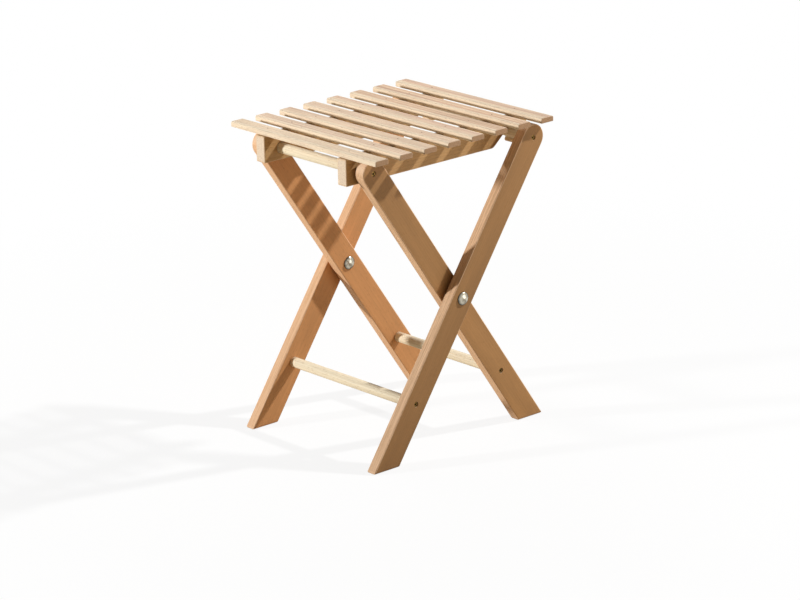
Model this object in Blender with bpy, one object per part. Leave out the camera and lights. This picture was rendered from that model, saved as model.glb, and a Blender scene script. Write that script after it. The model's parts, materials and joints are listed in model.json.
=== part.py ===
"""Wooden folding stool: a slatted seat on two crossed pairs of legs.

X runs along the slats, Y from the front of the stool to its rear, Z up. The origin lies on the
floor, midway between the four feet. Sizes are in metres and angles in radians.

The inner legs stand from the top front to the bottom rear and the outer legs from the top rear to
the bottom front. They turn on two bolts where they cross. The seat turns on the hinge dowel at the
top front, and two slots in its rails drop over the catch dowel at the top rear.
"""
import math

import bmesh
import bpy
from mathutils import Euler, Matrix, Vector

# Heights and stance
SEAT_HEIGHT = 0.450
PIVOT_HEIGHT = 0.217
DOWEL_SPREAD = 0.278

# Seat slats
SLAT_COUNT = 8
SLAT_WIDTH = 0.023
SLAT_THICKNESS = 0.008
SLAT_OVERHANG = 0.0135
SLAT_TOP_RADIUS = 0.0028
SLAT_LOW_RADIUS = 0.001
SLAT_END_EDGE = 0.0008

# Seat rails
RAIL_CENTRES = 0.172
RAIL_THICKNESS = 0.018
RAIL_NOSE = 0.030
RAIL_TAIL = 0.029
RAIL_OVERHANG = 0.003
RAIL_WALL = 0.0092
RAIL_EDGE = 0.0012

# Slot at the rear of each rail, which drops over the catch dowel
SEAT_TURN_RATIO = 2.0
SLOT_PLAY = 0.003
SLOT_FLARE = math.radians(50)
SLOT_MOUTH_RADIUS = 0.010
SLOT_TIP_RADIUS = 0.003

# Legs
LEG_WIDTH = 0.038
LEG_THICKNESS = 0.0165
LEG_EDGE = 0.0012
FOOT_RADIUS = 0.002
RAIL_GAP = 0.006
LEG_GAP = 0.005
SEAT_CLEARANCE = 0.0023

# Round dowels between the legs
DOWEL_DIAMETER = 0.015
DOWEL_EDGE = 0.0006
STRETCHER_DROP = 0.161

# Screws through the legs into the ends of the dowels
SCREW_HEAD_DIAMETER = 0.0074
SCREW_HEAD_RIM = 0.0004
SCREW_HEAD_DEPTH = 0.0024
SCREW_SHANK_DIAMETER = 0.004
SCREW_LENGTH = 0.042
SCREW_TIP = 0.006
SCREW_SINK = 0.0012

# Pins through the slats into the rails
PIN_HEAD_DIAMETER = 0.0026
PIN_HEAD_HEIGHT = 0.0012
PIN_SHANK_DIAMETER = 0.0018
PIN_BITE = 0.011
PIN_TIP = 0.003

# Pivot bolts with sleeve nuts, and the spacers between the crossing legs
PIVOT_HEAD_DIAMETER = 0.019
PIVOT_HEAD_RIM = 0.0008
PIVOT_HEAD_HEIGHT = 0.0046
BOLT_SHANK_DIAMETER = 0.006
BOLT_SHANK_LENGTH = 0.026
SLEEVE_DIAMETER = 0.010
SLEEVE_SHORTFALL = 0.003
SLEEVE_TIP_ROOM = 0.002
SPACER_DIAMETER = 0.024
SPACER_EDGE = 0.0005

# Gap kept between pieces that touch on the real stool
FIT_GAP = 0.0003

# How finely round shapes are divided
ARC_STEP = math.radians(15)
DOWEL_SIDES = 28
HEAD_SIDES = 24
SCREW_SIDES = 12
PIN_SIDES = 8
DOME_STEPS = 5
EDGE_STEPS = 1
SMOOTH_ANGLE = math.radians(35)
CUT_MARGIN = 0.004

# Sizes that follow from the driving dimensions
DOWEL_RADIUS = DOWEL_DIAMETER / 2
LEG_HALF = LEG_WIDTH / 2
RAIL_BELOW = DOWEL_RADIUS + FIT_GAP + RAIL_WALL
RAIL_ABOVE = LEG_HALF + SEAT_CLEARANCE - FIT_GAP
HINGE_HEIGHT = SEAT_HEIGHT - SLAT_THICKNESS - FIT_GAP - RAIL_ABOVE
HINGE_Y = -DOWEL_SPREAD / 2
CATCH_Y = DOWEL_SPREAD / 2
ARM_RISE = HINGE_HEIGHT - PIVOT_HEIGHT
ARM_LENGTH = math.hypot(DOWEL_SPREAD / 2, ARM_RISE)
LEAN = math.atan2(DOWEL_SPREAD / 2, ARM_RISE)

SEAT_FRONT = HINGE_Y - RAIL_NOSE + RAIL_OVERHANG
SEAT_REAR = CATCH_Y + RAIL_TAIL - RAIL_OVERHANG
SLAT_PITCH = (SEAT_REAR - SEAT_FRONT - SLAT_WIDTH) / (SLAT_COUNT - 1)
SLAT_Z = SEAT_HEIGHT - SLAT_THICKNESS / 2

RAIL_X = RAIL_CENTRES / 2
INNER_LEG_X = RAIL_X + RAIL_THICKNESS / 2 + RAIL_GAP + LEG_THICKNESS / 2
OUTER_LEG_X = INNER_LEG_X + LEG_THICKNESS + LEG_GAP
SLAT_LENGTH = 2 * (OUTER_LEG_X + LEG_THICKNESS / 2 + SLAT_OVERHANG)
SLEEVE_LENGTH = 2 * LEG_THICKNESS + LEG_GAP - SLEEVE_SHORTFALL

SIDES = {"left": -1, "right": 1}
UPWARD = (0, -math.pi / 2, 0)
OUTWARD = {-1: (0, 0, math.pi), 1: (0, 0, 0)}


def clear_scene():
    """Remove every object that the scene starts with."""
    for item in list(bpy.data.objects):
        bpy.data.objects.remove(item)


def finish(name, colour, roughness, metallic=0.0):
    """Return a plain Principled material."""
    material = bpy.data.materials.new(name)
    material.use_nodes = True
    shader = material.node_tree.nodes["Principled BSDF"]
    shader.inputs["Base Color"].default_value = (*colour, 1.0)
    shader.inputs["Roughness"].default_value = roughness
    shader.inputs["Metallic"].default_value = metallic
    return material


def new_mesh(name, bm):
    """Turn a bmesh into a mesh with outward faces, smooth where it is round."""
    bmesh.ops.recalc_face_normals(bm, faces=bm.faces)
    mesh = bpy.data.meshes.new(name)
    bm.to_mesh(mesh)
    bm.free()
    mesh.shade_smooth()
    mesh.set_sharp_from_angle(angle=SMOOTH_ANGLE)
    return mesh


def add_object(name, mesh, parent=None, place=(0, 0, 0), turn=(0, 0, 0)):
    """Put a mesh in the scene at a world place and turn, under a parent empty."""
    item = bpy.data.objects.new(name, mesh)
    bpy.context.collection.objects.link(item)
    item.parent = parent
    origin = parent.location if parent else Vector()
    item.location = Vector(place) - origin
    item.rotation_euler = turn
    return item


def add_empty(name, place):
    """Add an empty that carries one body of the stool on its joint's axis."""
    empty = add_object(name, None, place=place)
    empty.empty_display_size = DOWEL_DIAMETER
    return empty


def add_piece(name, mesh, material, parent, place, turn=(0, 0, 0)):
    """Add one physical piece of the stool."""
    mesh.materials.clear()
    mesh.materials.append(material)
    return add_object(name, mesh, parent, place, turn)


def add_cutter(name, mesh):
    """Add a hidden shape that other pieces are bored with."""
    cutter = add_object(name, mesh)
    cutter.hide_render = True
    cutter.display_type = "WIRE"
    return cutter


def bore(piece, cutter):
    """Cut a hidden shape out of a piece."""
    cut = piece.modifiers.new(cutter.name, "BOOLEAN")
    cut.operation = "DIFFERENCE"
    cut.object = cutter


def rounded_outline(corners):
    """Return the points of a closed outline, each corner (y, z, radius) drawn as an arc."""
    points = []
    for index, (y, z, radius) in enumerate(corners):
        corner = Vector((y, z))
        before = (Vector(corners[index - 1][:2]) - corner).normalized()
        after = (Vector(corners[(index + 1) % len(corners)][:2]) - corner).normalized()
        opening = before.angle(after)
        bisector = (before + after).normalized()
        centre = corner + bisector * (radius / math.sin(opening / 2))
        start = corner + before * (radius / math.tan(opening / 2)) - centre
        turn = math.pi - opening
        if before.x * after.y - before.y * after.x > 0:
            turn = -turn
        steps = max(1, math.ceil(abs(turn) / ARC_STEP))
        for step in range(steps + 1):
            points.append(centre + Matrix.Rotation(turn * step / steps, 2) @ start)
    return points


def board(name, outline, length, edge):
    """Return a board: an outline in Y and Z, drawn out along X, with its end rims rounded."""
    bm = bmesh.new()
    ring = [bm.verts.new((-length / 2, y, z)) for y, z in outline]
    bmesh.ops.remove_doubles(bm, verts=ring, dist=1e-7)
    cap = bm.faces.new(bm.verts)
    drawn = bmesh.ops.extrude_face_region(bm, geom=[cap])["geom"]
    moved = [part for part in drawn if isinstance(part, bmesh.types.BMVert)]
    bmesh.ops.translate(bm, verts=moved, vec=(length, 0, 0))
    rims = [rim for rim in bm.edges if abs(rim.verts[0].co.x - rim.verts[1].co.x) < length / 2]
    bmesh.ops.bevel(bm, geom=rims, offset=edge, segments=EDGE_STEPS, profile=0.5, affect="EDGES")
    return new_mesh(name, bm)


def turned(name, profile, sides, closed=False):
    """Return a shape turned about X from (radius, x) points, as a solid or as a ring."""
    bm = bmesh.new()
    chain = [bm.verts.new((x, radius, 0)) for radius, x in profile]
    links = [bm.edges.new(pair) for pair in zip(chain, chain[1:])]
    if closed:
        links.append(bm.edges.new((chain[-1], chain[0])))
    bmesh.ops.spin(bm, geom=chain + links, axis=(1, 0, 0), angle=math.tau, steps=sides,
                   use_merge=True)
    bmesh.ops.remove_doubles(bm, verts=bm.verts, dist=1e-7)
    return new_mesh(name, bm)


def repeated(name, mesh, spots):
    """Return one mesh with a copy of a shape at each (place, turn)."""
    bm = bmesh.new()
    for place, turn in spots:
        copy = mesh.copy()
        copy.transform(Matrix.LocRotScale(Vector(place), Euler(turn), None))
        bm.from_mesh(copy)
        bpy.data.meshes.remove(copy)
    return new_mesh(name, bm)


def slat_centres():
    """Return the Y of each slat's centre line, front to rear."""
    return [SEAT_FRONT + SLAT_WIDTH / 2 + index * SLAT_PITCH for index in range(SLAT_COUNT)]


def stretcher_place(lean_sign):
    """Return Y and Z of a stretcher's axis; lean_sign is 1 on the inner legs, -1 on the outer."""
    y = lean_sign * STRETCHER_DROP * math.sin(LEAN)
    z = PIVOT_HEIGHT - STRETCHER_DROP * math.cos(LEAN)
    return y, z


def slat_mesh():
    """Return a slat with well rounded upper edges."""
    half = SLAT_WIDTH / 2
    top = SLAT_THICKNESS / 2
    outline = rounded_outline([
        (-half, -top, SLAT_LOW_RADIUS),
        (half, -top, SLAT_LOW_RADIUS),
        (half, top, SLAT_TOP_RADIUS),
        (-half, top, SLAT_TOP_RADIUS),
    ])
    return board("slat", outline, SLAT_LENGTH, SLAT_END_EDGE)


def line_at(point, direction, z):
    """Return the Y where a slanted line through a point reaches a height."""
    return point.x + direction.x / direction.y * (z - point.y)


def slot_corners():
    """Return the outline corners of the rail's slot, from its front mouth to its hooked tip.

    Places are measured from the hinge axis. The slot's rear wall follows the path on which the
    catch dowel leaves the rail as the frames close and the seat turns up. Its front wall flares
    towards the front, as the dowel slides that way.
    """
    pocket = DOWEL_RADIUS + FIT_GAP
    catch = Vector((DOWEL_SPREAD, 0))
    leaving = Vector((-ARM_RISE, DOWEL_SPREAD * (0.5 - SEAT_TURN_RATIO))).normalized()
    rear = catch + Vector((-leaving.y, leaving.x)) * pocket
    flare = Vector((-math.sin(SLOT_FLARE), -math.cos(SLOT_FLARE)))
    front = catch - Vector((SLOT_PLAY, 0)) + Vector((flare.y, -flare.x)) * pocket
    return [
        (line_at(front, flare, -RAIL_BELOW), -RAIL_BELOW, SLOT_MOUTH_RADIUS),
        (line_at(front, flare, pocket), pocket, pocket),
        (line_at(rear, leaving, pocket), pocket, pocket),
        (line_at(rear, leaving, -RAIL_BELOW), -RAIL_BELOW, SLOT_TIP_RADIUS),
    ]


def rail_mesh():
    """Return a rail with its open slot, drawn around the hinge axis."""
    end = DOWEL_SPREAD + RAIL_TAIL
    outline = rounded_outline([
        (-RAIL_NOSE, RAIL_ABOVE, RAIL_EDGE),
        (-RAIL_NOSE, -RAIL_BELOW, RAIL_EDGE),
        *slot_corners(),
        (end, -RAIL_BELOW, RAIL_EDGE),
        (end, RAIL_ABOVE, RAIL_EDGE),
    ])
    return board("rail", outline, RAIL_THICKNESS, RAIL_EDGE)


def leg_mesh(name, lean):
    """Return a leg drawn upright around the pivot, with a round top and a foot cut to the floor."""

    def floor(y):
        return (-PIVOT_HEIGHT - y * math.sin(lean)) / math.cos(lean)

    outline = rounded_outline([
        (-LEG_HALF, floor(-LEG_HALF), FOOT_RADIUS),
        (LEG_HALF, floor(LEG_HALF), FOOT_RADIUS),
        (LEG_HALF, ARM_LENGTH + LEG_HALF, LEG_HALF),
        (-LEG_HALF, ARM_LENGTH + LEG_HALF, LEG_HALF),
    ])
    return board(name, outline, LEG_THICKNESS, LEG_EDGE)


def dowel_mesh(name, leg_x):
    """Return a round dowel that fits between a pair of legs."""
    half = leg_x - LEG_THICKNESS / 2 - FIT_GAP
    profile = [
        (0, half),
        (DOWEL_RADIUS - DOWEL_EDGE, half),
        (DOWEL_RADIUS, half - DOWEL_EDGE),
        (DOWEL_RADIUS, DOWEL_EDGE - half),
        (DOWEL_RADIUS - DOWEL_EDGE, -half),
        (0, -half),
    ]
    return turned(name, profile, DOWEL_SIDES)


def screw_mesh():
    """Return a countersunk screw, its head's top at the origin and facing +X."""
    head = SCREW_HEAD_DIAMETER / 2
    shank = SCREW_SHANK_DIAMETER / 2
    profile = [
        (0, 0),
        (head, 0),
        (head, -SCREW_HEAD_RIM),
        (shank, -SCREW_HEAD_DEPTH),
        (shank, SCREW_TIP - SCREW_LENGTH),
        (0, -SCREW_LENGTH),
    ]
    return turned("screw", profile, SCREW_SIDES)


def screw_bore_mesh():
    """Return the hole for a sunk screw, wider than the screw by the fit gap."""
    head = SCREW_HEAD_DIAMETER / 2 + FIT_GAP
    shank = SCREW_SHANK_DIAMETER / 2 + FIT_GAP
    profile = [
        (0, SCREW_SINK + CUT_MARGIN),
        (head, SCREW_SINK + CUT_MARGIN),
        (head, -SCREW_HEAD_RIM),
        (shank, -SCREW_HEAD_DEPTH),
        (shank, -SCREW_LENGTH - FIT_GAP),
        (0, -SCREW_LENGTH - FIT_GAP),
    ]
    return turned("screw_bore", profile, SCREW_SIDES)


def pin_profile(gap):
    """Return a pin's outline below its head, wider all round by a gap."""
    head = PIN_HEAD_DIAMETER / 2 + gap
    shank = PIN_SHANK_DIAMETER / 2 + gap
    length = SLAT_THICKNESS + PIN_BITE + gap
    return [
        (head, -PIN_HEAD_HEIGHT - gap),
        (shank, -PIN_HEAD_HEIGHT - gap),
        (shank, PIN_TIP - length),
        (0, -length),
    ]


def pin_mesh():
    """Return a slat pin, its head's top at the origin and facing +X."""
    head = PIN_HEAD_DIAMETER / 2
    return turned("pin", [(0, 0), (head, 0), *pin_profile(0)], PIN_SIDES)


def pin_bore_mesh():
    """Return the hole for a slat pin, open above the slat."""
    head = PIN_HEAD_DIAMETER / 2 + FIT_GAP
    profile = [(0, CUT_MARGIN), (head, CUT_MARGIN), *pin_profile(FIT_GAP)]
    return turned("pin_bore", profile, PIN_SIDES)


def dome_profile():
    """Return the outline of a domed head that stands on a leg's face at the origin."""
    radius = PIVOT_HEAD_DIAMETER / 2
    rise = PIVOT_HEAD_HEIGHT - PIVOT_HEAD_RIM
    sphere = (radius * radius + rise * rise) / (2 * rise)
    span = math.asin(radius / sphere)
    base = FIT_GAP + PIVOT_HEAD_HEIGHT - sphere
    angles = [span * step / DOME_STEPS for step in range(DOME_STEPS + 1)]
    dome = [(sphere * math.sin(angle), base + sphere * math.cos(angle)) for angle in angles]
    return [*dome, (radius, FIT_GAP)]


def bolt_mesh():
    """Return a pivot bolt with a domed head facing +X."""
    shank = BOLT_SHANK_DIAMETER / 2
    profile = [
        *dome_profile(),
        (shank, FIT_GAP),
        (shank, -BOLT_SHANK_LENGTH),
        (0, -BOLT_SHANK_LENGTH),
    ]
    return turned("pivot_bolt", profile, HEAD_SIDES)


def sleeve_nut_mesh():
    """Return a sleeve nut: a domed head facing +X on a barrel bored for the bolt's shank."""
    barrel = SLEEVE_DIAMETER / 2
    hole = BOLT_SHANK_DIAMETER / 2 + FIT_GAP
    floor = SLEEVE_SHORTFALL - BOLT_SHANK_LENGTH - SLEEVE_TIP_ROOM
    profile = [
        *dome_profile(),
        (barrel, FIT_GAP),
        (barrel, -SLEEVE_LENGTH),
        (hole, -SLEEVE_LENGTH),
        (hole, -SLEEVE_LENGTH - floor),
        (0, -SLEEVE_LENGTH - floor),
    ]
    return turned("sleeve_nut", profile, HEAD_SIDES)


def spacer_mesh():
    """Return the washer that keeps two crossing legs apart."""
    outer = SPACER_DIAMETER / 2
    inner = SLEEVE_DIAMETER / 2 + FIT_GAP
    half = LEG_GAP / 2 - FIT_GAP
    profile = [
        (inner, half),
        (outer - SPACER_EDGE, half),
        (outer, half - SPACER_EDGE),
        (outer, SPACER_EDGE - half),
        (outer - SPACER_EDGE, -half),
        (inner, -half),
    ]
    return turned("spacer", profile, HEAD_SIDES, closed=True)


def through_bore(name, radius, y, z, sides):
    """Add a hidden bar that bores a hole along X right through the stool."""
    reach = SLAT_LENGTH / 2
    profile = [(0, reach), (radius, reach), (radius, -reach), (0, -reach)]
    cutter = add_cutter(name, turned(name, profile, sides))
    cutter.location = (0, y, z)
    return cutter


def add_seat(woods, metal):
    """Build the seat on its hinge axis: slats, rails and the pins that join them."""
    seat = add_empty("seat_hinge", (0, HINGE_Y, HINGE_HEIGHT))
    pin_spots = {
        f"slat_pin_{side}_{number}": ((sign * RAIL_X, y, SEAT_HEIGHT - FIT_GAP), UPWARD)
        for side, sign in SIDES.items()
        for number, y in enumerate(slat_centres(), start=1)
    }
    holes = repeated("pin_bores", pin_bore_mesh(), pin_spots.values())
    pin_bores = add_cutter("pin_bores", holes)
    hinge_radius = DOWEL_RADIUS + FIT_GAP
    hinge_bore = through_bore("hinge_bore", hinge_radius, HINGE_Y, HINGE_HEIGHT, DOWEL_SIDES)

    slats = slat_mesh()
    for number, y in enumerate(slat_centres(), start=1):
        slat = add_piece(f"slat_{number}", slats, woods["slat"], seat, (0, y, SLAT_Z))
        bore(slat, pin_bores)

    rails = rail_mesh()
    for side, sign in SIDES.items():
        place = (sign * RAIL_X, HINGE_Y, HINGE_HEIGHT)
        rail = add_piece(f"rail_{side}", rails, woods["rail"], seat, place)
        bore(rail, hinge_bore)
        bore(rail, pin_bores)

    pins = pin_mesh()
    for name, (place, turn) in pin_spots.items():
        add_piece(name, pins, metal["pin"], seat, place, turn)


def add_frame(label, frame, leg_x, lean, dowels, woods, metal):
    """Build a pair of legs with the two dowels between them and their screws."""
    screw_x = leg_x + LEG_THICKNESS / 2 - SCREW_SINK
    screw_spots = {
        f"{name}_screw_{side}": ((sign * screw_x, y, z), OUTWARD[sign])
        for name, (y, z) in dowels.items()
        for side, sign in SIDES.items()
    }
    cut_name = f"{label}_screw_bores"
    holes = repeated(cut_name, screw_bore_mesh(), screw_spots.values())
    screw_bores = add_cutter(cut_name, holes)
    pivot_radius = SLEEVE_DIAMETER / 2 + FIT_GAP
    pivot_bore = through_bore(f"{label}_pivot_bore", pivot_radius, 0, PIVOT_HEIGHT, HEAD_SIDES)

    legs = leg_mesh(f"leg_{label}", lean)
    for side, sign in SIDES.items():
        place = (sign * leg_x, 0, PIVOT_HEIGHT)
        leg = add_piece(f"leg_{label}_{side}", legs, woods["leg"], frame, place, (lean, 0, 0))
        bore(leg, screw_bores)
        bore(leg, pivot_bore)

    for name, (y, z) in dowels.items():
        mesh = dowel_mesh(name, leg_x)
        dowel = add_piece(name, mesh, woods["dowel"], frame, (0, y, z))
        bore(dowel, screw_bores)

    screws = screw_mesh()
    for name, (place, turn) in screw_spots.items():
        add_piece(name, screws, metal["screw"], frame, place, turn)


def add_pivots(frame, metal):
    """Build the bolt, sleeve nut and spacer at both crossings of the legs."""
    bolts = bolt_mesh()
    nuts = sleeve_nut_mesh()
    spacers = spacer_mesh()
    for side, sign in SIDES.items():
        bolt_place = (sign * (OUTER_LEG_X + LEG_THICKNESS / 2), 0, PIVOT_HEIGHT)
        nut_place = (sign * (INNER_LEG_X - LEG_THICKNESS / 2), 0, PIVOT_HEIGHT)
        spacer_place = (sign * (INNER_LEG_X + OUTER_LEG_X) / 2, 0, PIVOT_HEIGHT)
        add_piece(f"pivot_bolt_{side}", bolts, metal["bolt"], frame, bolt_place, OUTWARD[sign])
        add_piece(f"sleeve_nut_{side}", nuts, metal["bolt"], frame, nut_place, OUTWARD[-sign])
        add_piece(f"leg_spacer_{side}", spacers, metal["spacer"], frame, spacer_place)


def main():
    """Build the whole stool as it stands in use."""
    clear_scene()
    woods = {
        "slat": finish("beech_slat", (0.78, 0.60, 0.42), 0.45),
        "rail": finish("beech_rail", (0.60, 0.38, 0.20), 0.45),
        "leg": finish("beech_leg", (0.55, 0.32, 0.15), 0.42),
        "dowel": finish("beech_dowel", (0.82, 0.68, 0.46), 0.40),
    }
    metal = {
        "pin": finish("steel_pin", (0.30, 0.28, 0.26), 0.50, 1.0),
        "screw": finish("steel_screw", (0.25, 0.22, 0.18), 0.45, 1.0),
        "bolt": finish("nickel_bolt", (0.75, 0.74, 0.72), 0.22, 1.0),
        "spacer": finish("nylon_spacer", (0.80, 0.78, 0.72), 0.50),
    }
    inner_frame = add_empty("inner_frame", (0, 0, 0))
    outer_frame = add_empty("outer_frame_pivot", (0, 0, PIVOT_HEIGHT))
    add_seat(woods, metal)
    inner_dowels = {
        "hinge_dowel": (HINGE_Y, HINGE_HEIGHT),
        "rear_stretcher": stretcher_place(1),
    }
    outer_dowels = {
        "catch_dowel": (CATCH_Y, HINGE_HEIGHT),
        "front_stretcher": stretcher_place(-1),
    }
    add_frame("inner", inner_frame, INNER_LEG_X, LEAN, inner_dowels, woods, metal)
    add_frame("outer", outer_frame, OUTER_LEG_X, -LEAN, outer_dowels, woods, metal)
    add_pivots(outer_frame, metal)


if __name__ == "__main__":
    main()
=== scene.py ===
"""Folding beech stool: the finished pieces, their finishes and the studio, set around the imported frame.

X runs along the slats, Y from the front of the stool to its rear, Z up, in metres.
"""

import json
import logging
import math
import random
from dataclasses import dataclass
from enum import Enum
from functools import cache, partial
from typing import Any, Callable

import bmesh
import bpy
from bmesh.types import BMesh, BMVert
from bpy.types import ID, Material, Mesh, NodeSocket, NodeTree, Object, World
from mathutils import Matrix, Vector


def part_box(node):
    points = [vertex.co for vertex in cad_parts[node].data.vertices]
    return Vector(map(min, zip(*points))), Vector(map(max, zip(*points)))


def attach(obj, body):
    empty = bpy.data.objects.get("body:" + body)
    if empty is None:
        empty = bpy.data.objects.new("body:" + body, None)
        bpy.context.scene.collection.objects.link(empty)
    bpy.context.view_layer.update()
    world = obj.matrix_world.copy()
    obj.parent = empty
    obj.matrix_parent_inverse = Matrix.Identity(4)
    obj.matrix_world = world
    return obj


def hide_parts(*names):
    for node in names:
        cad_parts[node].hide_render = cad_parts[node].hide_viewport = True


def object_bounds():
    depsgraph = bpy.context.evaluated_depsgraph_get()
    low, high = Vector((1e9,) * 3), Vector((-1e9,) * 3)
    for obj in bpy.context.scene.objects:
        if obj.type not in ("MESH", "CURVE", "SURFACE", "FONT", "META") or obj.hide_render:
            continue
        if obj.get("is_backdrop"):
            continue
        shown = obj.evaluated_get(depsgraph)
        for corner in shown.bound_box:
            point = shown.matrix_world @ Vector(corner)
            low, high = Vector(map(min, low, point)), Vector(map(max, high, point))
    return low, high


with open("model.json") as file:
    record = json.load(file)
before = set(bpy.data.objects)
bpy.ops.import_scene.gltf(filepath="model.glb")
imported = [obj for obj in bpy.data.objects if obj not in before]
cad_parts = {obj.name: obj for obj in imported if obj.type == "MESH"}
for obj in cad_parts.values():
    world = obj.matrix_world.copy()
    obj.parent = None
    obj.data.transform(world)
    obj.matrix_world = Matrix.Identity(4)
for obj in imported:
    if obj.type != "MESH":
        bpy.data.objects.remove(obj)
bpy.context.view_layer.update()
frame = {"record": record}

log = logging.getLogger("stool")

MM = 0.001
IMAGE_WIDTH = 800

Pair = tuple[float, float]
Triple = tuple[float, float, float]
Colour = tuple[float, float, float, float]
Profile = list[Pair]
Adder = Callable[..., NodeSocket | None]

# What each point of a wooden mesh carries: its place in the log, its board's tone with painted light and
# shade on the legs, how far it faces along the fibre, and how pale it is painted for wear, painted highlight
# and painted sheen
TIMBER = "timber"
TONE_AND_LIGHT = "tint"
END = "end"
WEAR_AND_SHEEN = "wear"

# How finely corners and rims are divided, and which edges are shaded as sharp
ARC_STEP = math.radians(6)
RIM_ANGLES = (math.radians(60), math.radians(30))
SMOOTH_ANGLE = math.radians(35)

# Points that keep the shading of flat faces flat: this far off the corners of a long run, and this many radii
# off a rim
HOLD = 2 * MM
LONG_RUN = 4 * HOLD
RIM_HOLD = 1.35

# Corners of at most this radius are painted pale, for wear and as a painted highlight, and the borders of a
# rim are painted less pale than its middle
PALE_CORNER_RADIUS = 4 * MM
BORDER_PALENESS = 0.7

# A small quarter round passes its middle at this share of its radius
HALFWAY = 0.3

# Points this close are one point. Then the room round a driven pin, and that round a screw, bolt or dowel
# in its bore
WELD = 0.01 * MM
SNUG = 0.05 * MM
FIT_GAP = 0.3 * MM

# How far chance turns a board in its log and tilts its fibre, in degrees, and where it puts the board: along
# the log, out from its heart and to the side of it
SAW_TURN = 14.0
FIBRE_TILT = 1.2
LOG_REACH = 9.0
HEART_OUT = (30 * MM, 70 * MM)
HEART_ASIDE = 12 * MM

# Blender's rings repeat after this length at a scale of 1
RING_PERIOD = math.pi / 10

# Sockets of Blender's nodes: the levels that Map Range reads and gives, and Mix's two colours and its result
READ = (1, 2)
GIVE = (3, 4)
COLOURS = (6, 7)
MIXED = 2

# Most of a noise lies between these levels
MOST = (0.3, 0.7)

RECORD: dict[str, Any] = frame["record"]
BODY_OF = {node: body for body, nodes in RECORD["behaviour"]["bodies"].items() for node in nodes}
SLOT_OF = {part["node"]: part["material_slot"] for part in RECORD["subparts"]}


class Side(Enum):
    """One side of the stool, with the sign of its X."""

    LEFT = -1
    RIGHT = 1

    @property
    def word(self) -> str:
        """Return the side's word in the nodes' names."""
        return self.name.lower()


class Sawn(Enum):
    """How a piece was sawn from its log: the turn from its width to the log's heart, in degrees."""

    FLAT = 90
    RIFT = 48
    QUARTER = 6


class Tone(Enum):
    """How a board's red, green and blue differ from those of its finish, some of them by painted light."""

    EVEN = (1.0, 1.0, 1.0)
    ROSY = (0.95, 0.91, 0.91)
    AMBER = (0.95, 0.89, 0.84)
    # Painted light on the legs: warm bounce light on the left ones, painted shade on the right ones
    RUDDY = (1.10, 1.055, 1.11)
    DEEP = (0.665, 0.685, 0.695)


def linear(code: str) -> Colour:
    """Turn an sRGB hex value into a linear colour.

    Args:
        code: Six hex digits after a hash sign.

    Returns:
        Linear red, green and blue, and an alpha of 1.
    """
    shares = [int(code[i:i + 2], 16) / 255 for i in (1, 3, 5)]
    red, green, blue = (s / 12.92 if s <= 0.04045 else ((s + 0.055) / 1.055) ** 2.4 for s in shares)
    return red, green, blue, 1.0


def add_node(
    tree: NodeTree, kind: str, inputs: dict[Any, Any], out: int | str = 0, **settings: Any
) -> NodeSocket | None:
    """Add a shader node with its settings and links.

    Args:
        tree: The node tree that takes the node.
        kind: Blender's name of the node's type, after the word ShaderNode.
        inputs: A plain value, or the output socket to link from, for each input. A tuple of inputs
            takes a value for each.
        out: Which of its outputs is wanted.
        settings: Values of the node's own properties.

    Returns:
        That output, or None from a node that ends its tree.
    """
    node = tree.nodes.new(f"ShaderNode{kind}")
    for name, value in settings.items():
        setattr(node, name, value)
    for sockets, values in inputs.items():
        pairs = zip(sockets, values) if isinstance(sockets, tuple) else [(sockets, values)]
        for socket, value in pairs:
            if isinstance(value, NodeSocket):
                tree.links.new(value, node.inputs[socket])
            else:
                node.inputs[socket].default_value = value
    return node.outputs[out] if node.outputs else None


def adder(owner: Material | World) -> Adder:
    """Empty the node tree of a material or world.

    Args:
        owner: What the tree belongs to.

    Returns:
        A function that adds a node to that tree.
    """
    owner.use_nodes = True
    owner.node_tree.nodes.clear()
    return partial(add_node, owner.node_tree)


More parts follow.
